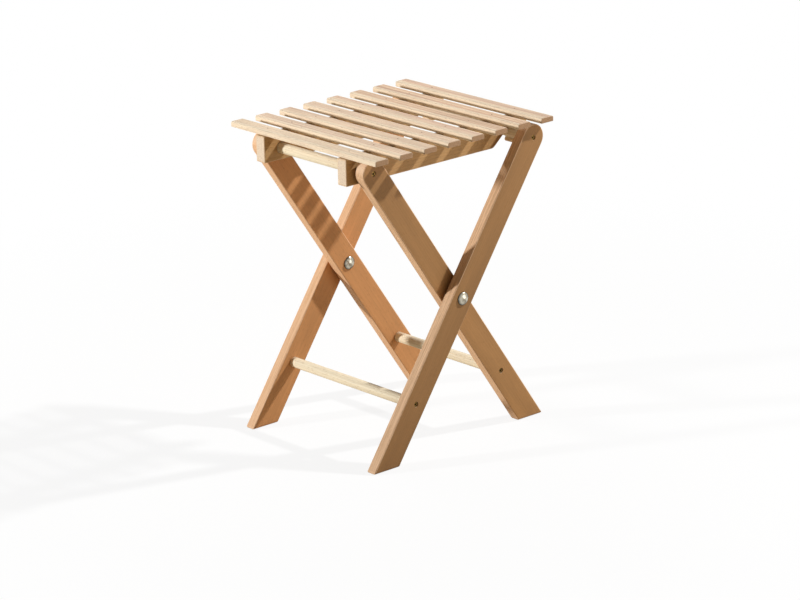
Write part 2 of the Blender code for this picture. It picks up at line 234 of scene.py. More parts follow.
@dataclass(frozen=True)
class BeechFinish:
    """European beech under a thin clear satin varnish.

    Beech shows faint growth rings, a fine straight fibre and, as its mark, many short brown ray
    flecks. The varnish is thin enough to leave only a dull sheen. Rubbed edges are painted a little paler,
    which also paints a highlight on them, and the legs' narrow faces are painted paler as painted sheen.
    """

    name: str
    early: str
    late: str
    fleck: str
    end: str
    worn: str
    ring: float = 3.4 * MM
    ring_fade: float = 2.2
    ring_wander: float = 5.0
    ring_share: float = 0.55
    fleck_share: float = 0.5
    fibre_share: float = 0.09
    drift_share: float = 0.10
    end_share: float = 0.85
    ior: float = 1.5
    roughness: float = 0.56
    # A thin coat sinks in between the fibres, so less light comes straight back than from a full one
    shine: float = 0.22

    # Rays of beech are about 0.3 by 2 mm and its fibre is finer still. Both are drawn coarser here,
    # because the picture shows no less than about a millimetre.
    fleck_width: float = 1.5 * MM
    fleck_stretch: float = 5.0
    fibre_width: float = 1.3 * MM
    fibre_stretch: float = 45.0
    drift_width: float = 22 * MM
    drift_stretch: float = 7.0
    pore_width: float = 1.4 * MM
    relief: float = 0.12 * MM
    relief_strength: float = 0.35
    fleck_sink: float = 0.35

    # Where each pattern starts and ends within its noise, and what it goes from and to
    tone_levels: Pair = (0.28, 0.72)
    end_levels: Pair = (0.55, 0.92)
    pore_tones: Pair = (0.80, 1.10)
    rub_levels: Pair = (0.35, 0.65)
    rub_shares: Pair = (0.45, 0.95)
    dash_levels: Pair = (0.18, 0.42)
    chance_levels: Pair = (0.45, 0.95)
    gloss_changes: Pair = (-0.06, 0.07)
    end_dulling: float = 0.16

    def material(self) -> Material:
        """Build the finish.

        Returns:
            The varnished wood as a material.
        """
        material = bpy.data.materials.new(self.name)
        add = adder(material)
        timber, tint, facing, wear = (
            add("Attribute", {}, output, attribute_name=name)
            for name, output in ((TIMBER, "Vector"), (TONE_AND_LIGHT, "Vector"), (END, "Fac"), (WEAR_AND_SHEEN, "Fac"))
        )
        along = {
            stretch: add("VectorMath", {0: timber, 1: (1 / stretch, 1, 1)}, operation="MULTIPLY")
            for stretch in (self.fleck_stretch, self.fibre_stretch, self.drift_stretch)
        }

        # Growth rings about the log's heart: slow to darken, quick to turn pale again
        rings = add(
            "TexWave",
            {"Vector": along[self.drift_stretch], "Scale": RING_PERIOD / self.ring,
             "Distortion": self.ring_wander, "Detail": 2.0, "Detail Scale": 0.16, "Detail Roughness": 0.55},
            "Fac", wave_type="RINGS", rings_direction="X", wave_profile="SAW",
        )
        late = add("Math", {0: rings, 1: self.ring_fade}, operation="POWER")
        late = add("Math", {0: late, 1: self.ring_share}, operation="MULTIPLY")
        woods = linear(self.early), linear(self.late)
        colour = add("Mix", {0: late, COLOURS: woods}, MIXED, data_type="RGBA")

        # Fibre lines, slow drifts of tone along the board, and each board's own tone, which on the legs is
        # painted light and shade
        fibre, drift = (
            add("TexNoise", {"Vector": along[stretch], "Scale": 1 / width, "Detail": 3.0, "Roughness": 0.55})
            for stretch, width in zip(
                (self.fibre_stretch, self.drift_stretch), (self.fibre_width, self.drift_width)
            )
        )
        shades = [
            add("MapRange", {0: field, READ: self.tone_levels, GIVE: (1 - share, 1 + share)})
            for field, share in ((fibre, self.fibre_share), (drift, self.drift_share))
        ]
        for shade in (*shades, tint):
            colour = add("VectorMath", {0: colour, 1: shade}, operation="MULTIPLY")

        # End grain where the surface faces along the fibre: its open pores make it speckled
        end = add("MapRange", {0: facing, READ: self.end_levels}, interpolation_type="SMOOTHSTEP")
        pores = add("TexNoise", {"Vector": timber, "Scale": 1 / self.pore_width, "Detail": 2.0})
        pores = add("MapRange", {0: pores, READ: MOST, GIVE: self.pore_tones})
        sawn = linear(self.end)[:3]
        end_colour = add("VectorMath", {0: sawn, "Scale": pores}, operation="SCALE")
        end_share = add("Math", {0: end, 1: self.end_share}, operation="MULTIPLY")

        # Edges rubbed by hands and by packing, painted pale with a painted highlight on them, and painted
        # sheen on the legs' narrow faces
        rubbed_and_sheen = add("MapRange", {0: fibre, READ: self.rub_levels, GIVE: self.rub_shares})
        rubbed_and_sheen = add("Math", {0: rubbed_and_sheen, 1: wear}, operation="MULTIPLY")

        # Ray flecks: one short dash in each stretched cell, of a strength by chance
        cells = add("TexVoronoi", {"Vector": along[self.fleck_stretch], "Scale": 1 / self.fleck_width})
        dashes, chances = cells.node.outputs["Distance"], cells.node.outputs["Color"]
        dash = add("MapRange", {0: dashes, READ: self.dash_levels, GIVE: (1.0, 0.0)})
        chance = add("MapRange", {0: chances, READ: self.chance_levels})
        flecks = add("Math", {0: dash, 1: chance}, operation="MULTIPLY")
        flecked = add("Math", {0: flecks, 1: self.fleck_share}, operation="MULTIPLY")
        layers = (end_share, end_colour), (rubbed_and_sheen, linear(self.worn)), (flecked, linear(self.fleck))
        for share, over in layers:
            colour = add("Mix", {0: share, COLOURS: (colour, over)}, MIXED, data_type="RGBA")

        # The sheen breaks up along the fibre and is lost on end grain
        glosses = [self.roughness + change for change in self.gloss_changes]
        gloss = add("MapRange", {0: fibre, READ: MOST, GIVE: glosses})
        gloss = add("Math", {0: end, 1: self.end_dulling, 2: gloss}, operation="MULTIPLY_ADD")
        height = add("Math", {0: flecks, 1: -self.fleck_sink, 2: fibre}, operation="MULTIPLY_ADD")
        bump = add("Bump", {"Height": height, "Strength": self.relief_strength, "Distance": self.relief})
        looks = {"Base Color": colour, "Roughness": gloss, "Normal": bump}
        wood = add("BsdfPrincipled", looks | {"IOR": self.ior, "Specular IOR Level": self.shine})
        add("OutputMaterial", {0: wood})
        return material


@dataclass(frozen=True)
class SteelFinish:
    """Turned steel, plated or left to rust.

    Plating gives a bright, faintly clouded mirror, whose clouds on nickel are also painted dark reflections.
    Rust makes it brown and dull. Both keep fine scratches, which spread each highlight. The metal is painted
    darker with depth below the head's top: grime and painted shade in a screw's recess, painted shade towards
    a dome's rim.
    """

    name: str
    bright: str
    dull: str
    roughness: float
    # Where the metal is painted dark, with grime and painted shade, as depths below the head's top, and how
    # dark it gets
    grime: Pair
    grime_floor: float
    # The way that the head faces in the stool
    axis: Triple = (1.0, 0.0, 0.0)
    # Clouds of handling, which on nickel also stand for painted dark reflections, and scratches about a tenth
    # of a millimetre wide, drawn coarser to show
    cloud_width: float = 3 * MM
    scratch_width: float = 0.5 * MM
    scratch_depth: float = 0.02 * MM
    scratch_strength: float = 0.12
    tarnish_levels: Pair = (0.38, 0.64)
    gloss_shares: Pair = (0.8, 1.25)

    def material(self) -> Material:
        """Build the finish.

        Returns:
            The metal as a material.
        """
        material = bpy.data.materials.new(self.name)
        add = adder(material)
        place = add("TexCoord", {}, "Object")
        clouds, scratches = (
            add("TexNoise", {"Vector": place, "Scale": 1 / width, "Detail": 3.0})
            for width in (self.cloud_width, self.scratch_width)
        )
        # Tarnish clouds, which on nickel also paint dark reflections
        tarnish_and_reflection = add("MapRange", {0: clouds, READ: self.tarnish_levels})
        metals = linear(self.bright), linear(self.dull)
        colour = add("Mix", {0: tarnish_and_reflection, COLOURS: metals}, MIXED, data_type="RGBA")
        # Painted darker with depth below the head's top: grime with painted shade in a screw's recess,
        # painted shade near a dome's rim
        depth = add("VectorMath", {0: place, 1: self.axis}, "Value", operation="DOT_PRODUCT")
        depth = add("Math", {0: depth}, operation="ABSOLUTE")
        clean_and_lit = add("MapRange", {0: depth, READ: self.grime, GIVE: (1.0, self.grime_floor)})
        colour = add("VectorMath", {0: colour, "Scale": clean_and_lit}, operation="SCALE")
        glosses = [self.roughness * share for share in self.gloss_shares]
        gloss = add("MapRange", {0: clouds, READ: MOST, GIVE: glosses})
        bump = add(
            "Bump",
            {"Height": scratches, "Strength": self.scratch_strength, "Distance": self.scratch_depth},
        )
        looks = {"Base Color": colour, "Roughness": gloss, "Normal": bump, "Metallic": 1.0}
        metal = add("BsdfPrincipled", looks)
        add("OutputMaterial", {0: metal})
        return material


@dataclass(frozen=True)
class NylonFinish:
    """Natural nylon, moulded: milky, with a soft gloss and a faint flow pattern."""

    name: str
    pale: str
    deep: str
    flow_width: float = 4 * MM
    glosses: Pair = (0.40, 0.55)
    ior: float = 1.53

    def material(self) -> Material:
        """Build the finish.

        Returns:
            The plastic as a material.
        """
        material = bpy.data.materials.new(self.name)
        add = adder(material)
        place = add("TexCoord", {}, "Object")
        flow = add("TexNoise", {"Vector": place, "Scale": 1 / self.flow_width, "Detail": 2.0})
        tones = linear(self.pale), linear(self.deep)
        colour = add("Mix", {0: flow, COLOURS: tones}, MIXED, data_type="RGBA")
        gloss = add("MapRange", {0: flow, GIVE: self.glosses})
        nylon = add("BsdfPrincipled", {"Base Color": colour, "Roughness": gloss, "IOR": self.ior})
        add("OutputMaterial", {0: nylon})
        return material


@dataclass(frozen=True)
class Corner:
    """A corner of an outline: its place and its rounding."""

    u: float
    v: float
    radius: float


class Outline:
    """A closed outline of straight runs and rounded corners, which can be drawn inset."""

    def __init__(self, corners: list[Corner]) -> None:
        """Keep the corners in counter-clockwise order and find the runs that hold extra points.

        Args:
            corners: The outline's corners in either order.
        """
        area = sum(a.u * b.v - b.u * a.v for a, b in zip(corners, corners[1:] + corners[:1]))
        self.corners = corners if area > 0 else corners[::-1]
        arcs = [self.arc(index, 0.0) for index in range(len(self.corners))]
        self.long_runs = [
            (after[0] - before[-1]).length > LONG_RUN for before, after in zip(arcs, arcs[1:] + arcs[:1])
        ]

    def arc(self, index: int, inset: float) -> list[Vector]:
        """Draw one rounded corner.

        Args:
            index: Which corner.
            inset: How far the outline is drawn in.

        Returns:
            The points along the corner's arc.
        """
        corner = self.corners[index]
        place = Vector((corner.u, corner.v))
        before = self.corners[index - 1]
        after = self.corners[(index + 1) % len(self.corners)]
        coming = (place - Vector((before.u, before.v))).normalized()
        going = (Vector((after.u, after.v)) - place).normalized()
        inward = Vector((-coming.y, coming.x))
        inward_next = Vector((-going.y, going.x))
        place += (inward + inward_next) * (inset / (1 + inward.dot(inward_next)))
        turn = math.atan2(coming.x * going.y - coming.y * going.x, coming.dot(going))
        bend = math.copysign(1, turn)
        radius = max(corner.radius - bend * inset, 0.0)
        start = place - coming * (radius * math.tan(abs(turn) / 2))
        centre = start + inward * (bend * radius)
        steps = max(1, math.ceil(abs(turn) / ARC_STEP))
        turns = [Matrix.Rotation(turn * step / steps, 2) for step in range(steps + 1)]
        return [centre + part @ (start - centre) for part in turns]

    def ring(self, inset: float) -> list[tuple[Vector, float]]:
        """Draw the whole outline.

        Args:
            inset: How far the outline is drawn in.

        Returns:
            Each point with its wear and painted highlight, which is 1 on small roundings and 0 elsewhere.
        """
        points: list[tuple[Vector, float]] = []
        for index, corner in enumerate(self.corners):
            rubbed_and_sheen = 1.0 if corner.radius <= PALE_CORNER_RADIUS else 0.0
            arc = self.arc(index, inset)
            points += [(point, rubbed_and_sheen) for point in arc]
            if self.long_runs[index]:
                run_end = self.arc((index + 1) % len(self.corners), inset)[0]
                step = (run_end - arc[-1]).normalized() * HOLD
                points += [(arc[-1] + step, 0.0), (run_end - step, 0.0)]
        return points


def put(name: str, data: ID) -> Object:
    """Put an object into the scene.

    Args:
        name: The object's name.
        data: Its mesh, lamp or camera.

    Returns:
        The object.
    """
    item = bpy.data.objects.new(name, data)
    bpy.context.scene.collection.objects.link(item)
    return item


def new_mesh(name: str, bm: BMesh) -> Mesh:
    """Turn a bmesh into a welded mesh with its faces out.

    Args:
        name: The mesh's name.
        bm: The shape, which is freed.

    Returns:
        The mesh.
    """
    bmesh.ops.remove_doubles(bm, verts=bm.verts, dist=WELD)
    bmesh.ops.recalc_face_normals(bm, faces=bm.faces)
    mesh = bpy.data.meshes.new(name)
    bm.to_mesh(mesh)
    bm.free()
    return mesh


def skin(bm: BMesh, rings: list[list[BMVert]]) -> None:
    """Close a shape with walls from ring to ring and a cap at each end.

    Args:
        bm: The shape that the points are in.
        rings: The points of each ring, all in the same order.
    """
    for low, high in zip(rings, rings[1:]):
        for index, vert in enumerate(low):
            following = (index + 1) % len(low)
            bm.faces.new((vert, low[following], high[following], high[index]))
    for cap in (rings[0], rings[-1]):
        bm.faces.new(cap)


def board_mesh(
    name: str, outline: Outline, depth: float, edge: float, axes: Matrix,
    rim_wear_and_sheen: float = 1.0, side_wear: float = 0.0,
) -> Mesh:
    """Draw an outline out to a board with rounded rims.

    Args:
        name: The mesh's name.
        outline: The board's outline.
        depth: How far the outline is drawn out, half to each side.
        edge: Radius of the rims.
        axes: Turns (u, v, depth) into the piece's own X, Y and Z.
        rim_wear_and_sheen: How pale the rims are painted, for wear and as a painted highlight.
        side_wear: How pale the narrow faces are painted between their rims, as painted sheen.

    Returns:
        The board, with its wear and painted sheen at each point.
    """
    half = depth / 2
    border = BORDER_PALENESS * rim_wear_and_sheen
    rim = [
        (RIM_HOLD * edge, half, 0.0),
        (edge, half, border),
        *((edge * (1 - math.cos(a)), half - edge * (1 - math.sin(a)), rim_wear_and_sheen) for a in RIM_ANGLES),
        (0.0, half - edge, border),
        (0.0, half - RIM_HOLD * edge, side_wear),
    ]
    rings = rim + [(inset, -level, worn) for inset, level, worn in reversed(rim)]
    bm = bmesh.new()
    wear_and_sheen_layer = bm.verts.layers.float.new(WEAR_AND_SHEEN)
    loops = []
    for inset, level, worn in rings:
        loop = []
        for point, rubbed_and_sheen in outline.ring(inset):
            vert = bm.verts.new(axes @ Vector((point.x, point.y, level)))
            at_corner = rubbed_and_sheen * (rim_wear_and_sheen if inset else 1.0)
            vert[wear_and_sheen_layer] = max(worn, at_corner) if inset <= edge else 0.0
            loop.append(vert)
        loops.append(loop)
    skin(bm, loops)
    return new_mesh(name, bm)


def turned_mesh(name: str, profile: Profile, sides: int, ring: bool = False) -> Mesh:
    """Turn a profile about X.

    Args:
        name: The mesh's name.
        profile: Points as (radius, x).
        sides: How many steps make the round.
        ring: Whether the profile closes on itself.

    Returns:
        The turned shape.
    """
    bm = bmesh.new()
    chain = [bm.verts.new((x, radius, 0)) for radius, x in profile]
    links = [bm.edges.new(pair) for pair in zip(chain, chain[1:])]
    if ring:
        links.append(bm.edges.new((chain[-1], chain[0])))
    bmesh.ops.spin(bm, geom=chain + links, axis=(1, 0, 0), angle=math.tau, steps=sides, use_merge=True)
    return new_mesh(name, bm)


def bar_profile(radius: float, half: float, edge: float = 0.0, hole: float = 0.0) -> Profile:
    """Draw the profile of a round bar.

    Args:
        radius: The bar's radius.
        half: How far the bar reaches to each side.
        edge: Radius of its rims.
        hole: Radius of the hole through it.

    Returns:
        The profile from one end to the other.
    """
    rim = [(radius, half)]
    if edge:
        ease = HALFWAY * edge
        rim = [(radius - edge, half), (radius - ease, half - ease), (radius, half - edge)]
    return [(hole, half), *rim, *((r, -x) for r, x in reversed(rim)), (hole, -half)]


def gathered(name: str, shapes: list[tuple[Mesh, Matrix]]) -> Mesh:
    """Gather placed shapes into one mesh.

    Args:
        name: The new mesh's name.
        shapes: Each shape with its place.

    Returns:
        One mesh with all of them.
    """
    bm = bmesh.new()
    for mesh, place in shapes:
        copy = mesh.copy()
        copy.transform(place)
        bm.from_mesh(copy)
        bpy.data.meshes.remove(copy)
    return new_mesh(name, bm)


def bored(mesh: Mesh, cutter: Mesh) -> Mesh:
    """Cut one mesh out of another.

    Args:
        mesh: The piece, which is used up.
        cutter: The shape to cut out, in the piece's own frame, which is used up.

    Returns:
        The piece with its bores.
    """
    block, tool = (put(item.name, item) for item in (mesh, cutter))
    cut = block.modifiers.new("bore", "BOOLEAN")
    cut.object = tool
    graph = bpy.context.evaluated_depsgraph_get()
    bm = bmesh.new()
    bm.from_object(block, graph)
    for item in (block, tool):
        bpy.data.objects.remove(item)
    for item in (mesh, cutter):
        bpy.data.meshes.remove(item)

    # Faces of many sides are cut up here, because the export's own cut leaves triangles of no area in them
    bmesh.ops.remove_doubles(bm, verts=bm.verts, dist=WELD)
    many_sided = [face for face in bm.faces if len(face.verts) > 4]
    bmesh.ops.triangulate(bm, faces=many_sided, quad_method="BEAUTY", ngon_method="BEAUTY")
    return new_mesh("bored", bm)


def round_off(mesh: Mesh) -> None:
    """Shade a mesh smooth, apart from its sharp edges."""
    mesh.shade_smooth()
    mesh.set_sharp_from_angle(angle=SMOOTH_ANGLE)


@dataclass(frozen=True)
class Board:
    """The board that a piece was cut from: how it was sawn and how its colour differs from the others', which
    on the legs is painted light and shade.
    """

    sawn: Sawn
    tone: Tone = Tone.EVEN
    # Painted light and shade along the piece: how light it is painted at its -X end, beside its +X end
    root: float = 1.0


def lay_timber(mesh: Mesh, name: str, board: Board) -> None:
    """Give each point of a wooden piece its place in the log.

    Args:
        mesh: The piece, with its fibre along X.
        name: The piece's name, which fixes the chance values.
        board: What the piece was cut from.
    """
    chance = random.Random(name)
    turn = Matrix.Rotation(math.radians(board.sawn.value + chance.uniform(-SAW_TURN, SAW_TURN)), 3, "X")
    heart = Vector((
        chance.uniform(-LOG_REACH, LOG_REACH),
        chance.uniform(*HEART_OUT),
        chance.uniform(-HEART_ASIDE, HEART_ASIDE),
    ))
    lean = Matrix.Rotation(math.radians(chance.uniform(-FIBRE_TILT, FIBRE_TILT)), 3, "Z")
    for kind in (TIMBER, TONE_AND_LIGHT):
        mesh.attributes.new(kind, "FLOAT_VECTOR", "POINT")
    mesh.attributes.new(END, "FLOAT", "CORNER")
    places, tones_and_light, ends = (mesh.attributes[kind].data for kind in (TIMBER, TONE_AND_LIGHT, END))
    low, high = (pick(vert.co.x for vert in mesh.vertices) for pick in (min, max))
    for index, vert in enumerate(mesh.vertices):
        places[index].vector = turn.inverted() @ (lean @ vert.co) + heart
        # Each board's tone, with painted light and shade growing towards the -X end of a leg
        share = (vert.co.x - low) / (high - low)
        tones_and_light[index].vector = Vector(board.tone.value) * (board.root + (1 - board.root) * share)
    round_off(mesh)
    for index, normal in enumerate(mesh.corner_normals):
        ends[index].value = abs(normal.vector.x)


@cache
def coat(slot: str) -> Material:
    """Return the material of one of the record's slots, which is built once."""
    return FINISHES[slot].material()


def set_piece(node: str, mesh: Mesh, place: Matrix, board: Board | None = None) -> None:
    """Dress a piece and put it where its plain solid is.

    Args:
        node: The solid that the piece stands for.
        mesh: The piece's mesh.
        place: The piece's place in the stool.
        board: What a wooden piece was cut from.
    """
    if board:
        lay_timber(mesh, node, board)
    mesh.name = f"{node}_finished"
    mesh.transform(place.to_3x3().to_4x4())
    mesh.materials.clear()
    mesh.materials.append(coat(SLOT_OF[node]))
    round_off(mesh)
    piece = put(mesh.name, mesh)
    piece.location = place.translation
    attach(piece, BODY_OF[node])
    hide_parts(node)
    log.info("%s: %d faces, rides on %s", piece.name, len(mesh.polygons), BODY_OF[node])


def middle(node: str) -> Vector:
    """Return the middle of a solid's box."""
    low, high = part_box(node)
    return (low + high) / 2


def extent(node: str) -> Vector:
    """Return the sides of a solid's box."""
    low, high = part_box(node)
    return high - low


def head_place(node: str, outward: int) -> Matrix:
    """Find where the top of a screw's, bolt's or nut's head lies.

    Args:
        node: The fastener's solid.
        outward: The sign of the X that the head faces.

    Returns:
        The head's place, with the fastener's own +X turned the way that the head faces.
    """
    spot = middle(node)
    spot.x += outward * extent(node).x / 2
    turn = 0.0 if outward > 0 else math.pi
    return Matrix.Translation(spot) @ Matrix.Rotation(turn, 4, "Z")


# Turns from a drawn board's (u, v, depth) to a piece's own axes, with its fibre along X
ENDWAYS = Matrix(((0, 0, 1), (1, 0, 0), (0, 1, 0)))
FLATWAYS = Matrix(((1, 0, 0), (0, 0, -1), (0, 1, 0)))

# A quarter turn from X to Y, such as from along a board's fibre to across it
ACROSS = Matrix.Rotation(math.pi / 2, 4, "Z")


@dataclass
class SeatDeck:
    """The seat: slats pinned across two rails, each rail with a hinge bore and an open slot."""

    boards: tuple[Board, ...]
    slat_top_radius: float = 2.8 * MM
    slat_low_radius: float = 1.0 * MM
    slat_end_edge: float = 0.8 * MM
    slat_end_wear: float = 0.2
    rail_edge: float = 1.2 * MM
    bore_sides: int = 64
    slot_play: float = 3.0 * MM
    slot_flare: float = math.radians(50)
    slot_mouth_radius: float = 10.0 * MM
    slot_tip_radius: float = 3.0 * MM
    seat_turn_ratio: float = 2.0
    pin_head: float = 2.6 * MM
    pin_head_height: float = 1.2 * MM
    pin_shank: float = 1.8 * MM
    pin_tip: float = 3.0 * MM
    pin_crown: float = 0.15 * MM
    # Where the crown falls off, as shares of the head's radius and of the crown's height
    pin_shoulder: Pair = (0.7, 0.3)
    pin_sides: int = 20

    def build(self) -> None:
        """Build the slats, and the rails with their pins."""
        for number, board in enumerate(self.boards, 1):
            node = f"slat_{number}"
            set_piece(node, self.slat(node, number), Matrix.Translation(middle(node)), board)
        for side in Side:
            node = f"rail_{side.word}"
            set_piece(node, self.rail(node, side), self.rail_place(node), Board(Sawn.RIFT))
            for pin in self.rail_pins(side):
                set_piece(pin, self.pin(pin, 0.0), self.pin_place(pin))

    def rail_pins(self, side: Side) -> list[str]:
        """Return the solids of a rail's pins, from the front."""
        return [f"slat_pin_{side.word}_{number}" for number in range(1, len(self.boards) + 1)]

    def pin(self, node: str, gap: float) -> Mesh:
        """Turn a pin, its head's top at the origin and facing +X.

        Args:
            node: The pin's solid.
            gap: How much wider than the pin, for its hole.

        Returns:
            The pin's mesh, or that of its hole.
        """
        head = self.pin_head / 2 + gap
        shank = self.pin_shank / 2 + gap
        length = extent(node).z + gap
        across, down = self.pin_shoulder
        top = [(0.0, 0.0), (across * head, -down * self.pin_crown), (head, -self.pin_crown)]
        if gap:
            top = [(0.0, self.pin_head), (head, self.pin_head)]
        profile = [
            *top,
            (head, -self.pin_head_height - gap),
            (shank, -self.pin_head_height - 2 * gap),
            (shank, self.pin_tip - length),
            (0.0, -length),
        ]
        return turned_mesh(node, profile, self.pin_sides)

    def pin_place(self, node: str) -> Matrix:
        """Find where a pin's head lies.

        Args:
            node: The pin's solid.

        Returns:
            The head's place, with the pin's own +X turned up.
        """
        spot = middle(node)
        spot.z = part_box(node)[1].z
        return Matrix.Translation(spot) @ Matrix.Rotation(-math.pi / 2, 4, "Y")

    def pin_holes(self, pins: list[str], place: Matrix) -> Mesh:
        """Gather the holes for some pins.

        Args:
            pins: The pins' solids.
            place: Where the bored piece stands.

        Returns:
            The holes in the bored piece's own frame.
        """
        away = place.inverted()
        return gathered("pin_holes", [(self.pin(pin, SNUG), away @ self.pin_place(pin)) for pin in pins])

    def slat(self, node: str, number: int) -> Mesh:
        """Draw a slat with well rounded upper edges and bore it for its pins.

        Args:
            node: The slat's solid.
            number: Which slat, from the front.

        Returns:
            The slat's mesh.
        """
        size = extent(node)
        half, top = size.y / 2, size.z / 2
        outline = Outline([
            Corner(-half, -top, self.slat_low_radius),
            Corner(half, -top, self.slat_low_radius),
            Corner(half, top, self.slat_top_radius),
            Corner(-half, top, self.slat_top_radius),
        ])
        mesh = board_mesh(node, outline, size.x, self.slat_end_edge, ENDWAYS, self.slat_end_wear)
        pins = [self.rail_pins(side)[number - 1] for side in Side]
        return bored(mesh, self.pin_holes(pins, Matrix.Translation(middle(node))))

    def rail_place(self, node: str) -> Matrix:
        """Find a rail's place.

        Args:
            node: The rail's solid.

        Returns:
            A place on the hinge axis, with the rail's own +X, its fibre, turned to the rear.
        """
        hinge = middle("hinge_dowel")
        hinge.x = middle(node).x
        return Matrix.Translation(hinge) @ ACROSS

    def slot_corners(self, low: float) -> list[Corner]:
        """Work out the slot that drops over the catch dowel.

        Args:
            low: Height of the rail's lower edge above the hinge axis.

        Returns:
            The slot's corners, from its front mouth to its hooked tip.
        """
        hinge, catch_dowel, pivot = (middle(n) for n in ("hinge_dowel", "catch_dowel", "pivot_bolt_right"))
        spread = catch_dowel.y - hinge.y
        pocket = extent("catch_dowel").z / 2 + FIT_GAP
        leaving = Vector((pivot.z - hinge.z, spread * (0.5 - self.seat_turn_ratio))).normalized()
        rear = Vector((spread, 0)) + Vector((-leaving.y, leaving.x)) * pocket
        flare = Vector((-math.sin(self.slot_flare), -math.cos(self.slot_flare)))
        front = Vector((spread - self.slot_play, 0)) + Vector((flare.y, -flare.x)) * pocket
        spots = ((front, flare, low), (front, flare, pocket), (rear, leaving, pocket), (rear, leaving, low))
        radii = (self.slot_mouth_radius, pocket, pocket, self.slot_tip_radius)
        return [
            Corner(point.x + way.x / way.y * (height - point.y), height, radius)
            for (point, way, height), radius in zip(spots, radii)
        ]

    def rail(self, node: str, side: Side) -> Mesh:
        """Draw a rail with its open slot and bore it for the hinge dowel and the pins.

        Args:
            node: The rail's solid.
            side: Which side of the seat.

        Returns:
            The rail's mesh.
        """
        low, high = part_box(node)
        hinge = middle("hinge_dowel")
        front, rear = low.y - hinge.y, high.y - hinge.y
        bottom, top = low.z - hinge.z, high.z - hinge.z
        outline = Outline([
            Corner(front, top, self.rail_edge),
            Corner(front, bottom, self.rail_edge),
            *self.slot_corners(bottom),
            Corner(rear, bottom, self.rail_edge),
            Corner(rear, top, self.rail_edge),
        ])
        depth = high.x - low.x
        mesh = board_mesh(node, outline, depth, self.rail_edge, FLATWAYS)
        radius = extent("hinge_dowel").z / 2 + FIT_GAP
        bar = turned_mesh("hinge_bore", bar_profile(radius, depth), self.bore_sides)
        holes = self.pin_holes(self.rail_pins(side), self.rail_place(node))
        return bored(mesh, gathered("rail_bores", [(bar, ACROSS), (holes, Matrix())]))


